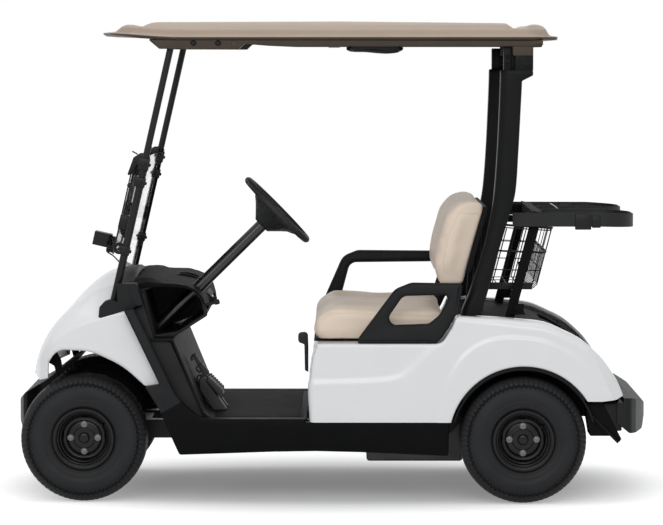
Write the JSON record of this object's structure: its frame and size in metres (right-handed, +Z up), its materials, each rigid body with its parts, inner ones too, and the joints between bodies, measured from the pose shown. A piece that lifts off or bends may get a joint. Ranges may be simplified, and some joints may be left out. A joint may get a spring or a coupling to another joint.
{
  "type": "golf cart",
  "caption": "Golf cart with a canopy, bench seat, folding windscreen, basket and bag rack; the wheels roll and steer and the seat tips forward.",
  "frame": {"origin": "on the ground, under the middle of the cart's overall box", "axes": "+X forwards, +Y to the driver's left, +Z up"},
  "size_m": [2.3958, 1.2, 1.7926],
  "materials": {
    "tyre": "matte",
    "wheel_steel": "satin",
    "body_white": "gloss",
    "trim_charcoal": "matte",
    "floor_black": "matte",
    "roof_stone": "satin",
    "canopy_steel": "satin",
    "strut_black": "satin",
    "vinyl": "satin",
    "seat_board": "matte",
    "frame_steel": "satin",
    "axle_steel": "satin",
    "engine": "matte",
    "clear_pane": "gloss",
    "fitting_black": "matte",
    "strap": "matte",
    "wire": "satin"
  },
  "bodies": {
    "chassis": {"front_axle": "frame_steel", "rear_axle": "axle_steel", "chassis_frame": "frame_steel", "engine_block": "engine", "floorboard": "floor_black", "sills": "trim_charcoal", "front_body": "body_white", "strut_boots": "fitting_black", "front_bumper": "trim_charcoal", "dashboard": "trim_charcoal", "steering_column": "trim_charcoal", "small_controls": "fitting_black", "rear_body": "body_white", "arch_liners": "trim_charcoal", "rear_deck": "trim_charcoal", "rear_bumper": "trim_charcoal", "seat_back": "vinyl", "backrest_frame": "seat_board", "armrest_left": "trim_charcoal", "armrest_right": "trim_charcoal", "front_struts": "strut_black", "rear_struts": "strut_black", "roof": "roof_stone", "roof_rails": "canopy_steel", "roof_handles": "fitting_black", "windscreen_lower": "clear_pane", "windscreen_upper": "clear_pane", "screen_fittings": "fitting_black", "bag_rack": "frame_steel", "bag_straps": "strap", "basket": "wire"},
    "knuckle_left": {"knuckle_left": "axle_steel"},
    "knuckle_right": {"knuckle_right": "axle_steel"},
    "tie_rod": {"tie_rod": "axle_steel"},
    "steering_wheel": {"steering_wheel": "fitting_black"},
    "seat": {"seat_pan": "seat_board", "seat_cushion": "vinyl"},
    "wheel_front_left": {"tyre_front_left": "tyre", "rim_front_left": "wheel_steel"},
    "wheel_front_right": {"tyre_front_right": "tyre", "rim_front_right": "wheel_steel"},
    "wheel_rear_left": {"tyre_rear_left": "tyre", "rim_rear_left": "wheel_steel"},
    "wheel_rear_right": {"tyre_rear_right": "tyre", "rim_rear_right": "wheel_steel"}
  },
  "joints": [
    {"name": "steer_left", "type": "hinge", "parent": "chassis", "child": "knuckle_left", "pos_m": [0.929, 0.375, 0.2365], "axis": [0, 0, 1], "range_deg": [-25, 25]},
    {"name": "steer_right", "type": "hinge", "parent": "chassis", "child": "knuckle_right", "pos_m": [0.929, -0.375, 0.2365], "axis": [0, 0, 1], "range_deg": [-25, 25]},
    {"name": "tie_rod_slide", "type": "slide", "parent": "chassis", "child": "tie_rod", "axis": [0, 1, 0], "range_m": [-0.0445, 0.0445]},
    {"name": "steering_wheel_turn", "type": "hinge", "parent": "chassis", "child": "steering_wheel", "pos_m": [0.209, 0.28, 1.082], "axis": [-0.7133, 0, 0.7009], "range_deg": [-351, 351]},
    {"name": "seat_tip", "type": "hinge", "parent": "chassis", "child": "seat", "pos_m": [0.064, 0, 0.6028], "axis": [0, 1, 0], "range_deg": [0, 60]},
    {"name": "spin_front_left", "type": "hinge", "parent": "knuckle_left", "child": "wheel_front_left", "pos_m": [0.929, 0.435, 0.2365], "axis": [0, 1, 0], "continuous": true},
    {"name": "spin_front_right", "type": "hinge", "parent": "knuckle_right", "child": "wheel_front_right", "pos_m": [0.929, -0.435, 0.2365], "axis": [0, 1, 0], "continuous": true},
    {"name": "spin_rear_left", "type": "hinge", "parent": "chassis", "child": "wheel_rear_left", "pos_m": [-0.711, 0.49, 0.2365], "axis": [0, 1, 0], "continuous": true},
    {"name": "spin_rear_right", "type": "hinge", "parent": "chassis", "child": "wheel_rear_right", "pos_m": [-0.711, -0.49, 0.2365], "axis": [0, 1, 0], "continuous": true}
  ],
  "couplings": [
    {"joint": "steer_right", "follows": "steer_left", "ratio": 1},
    {"joint": "steering_wheel_turn", "follows": "steer_left", "ratio": 14},
    {"joint": "tie_rod_slide", "follows": "steer_left", "m_per_rad": -0.1}
  ]
}
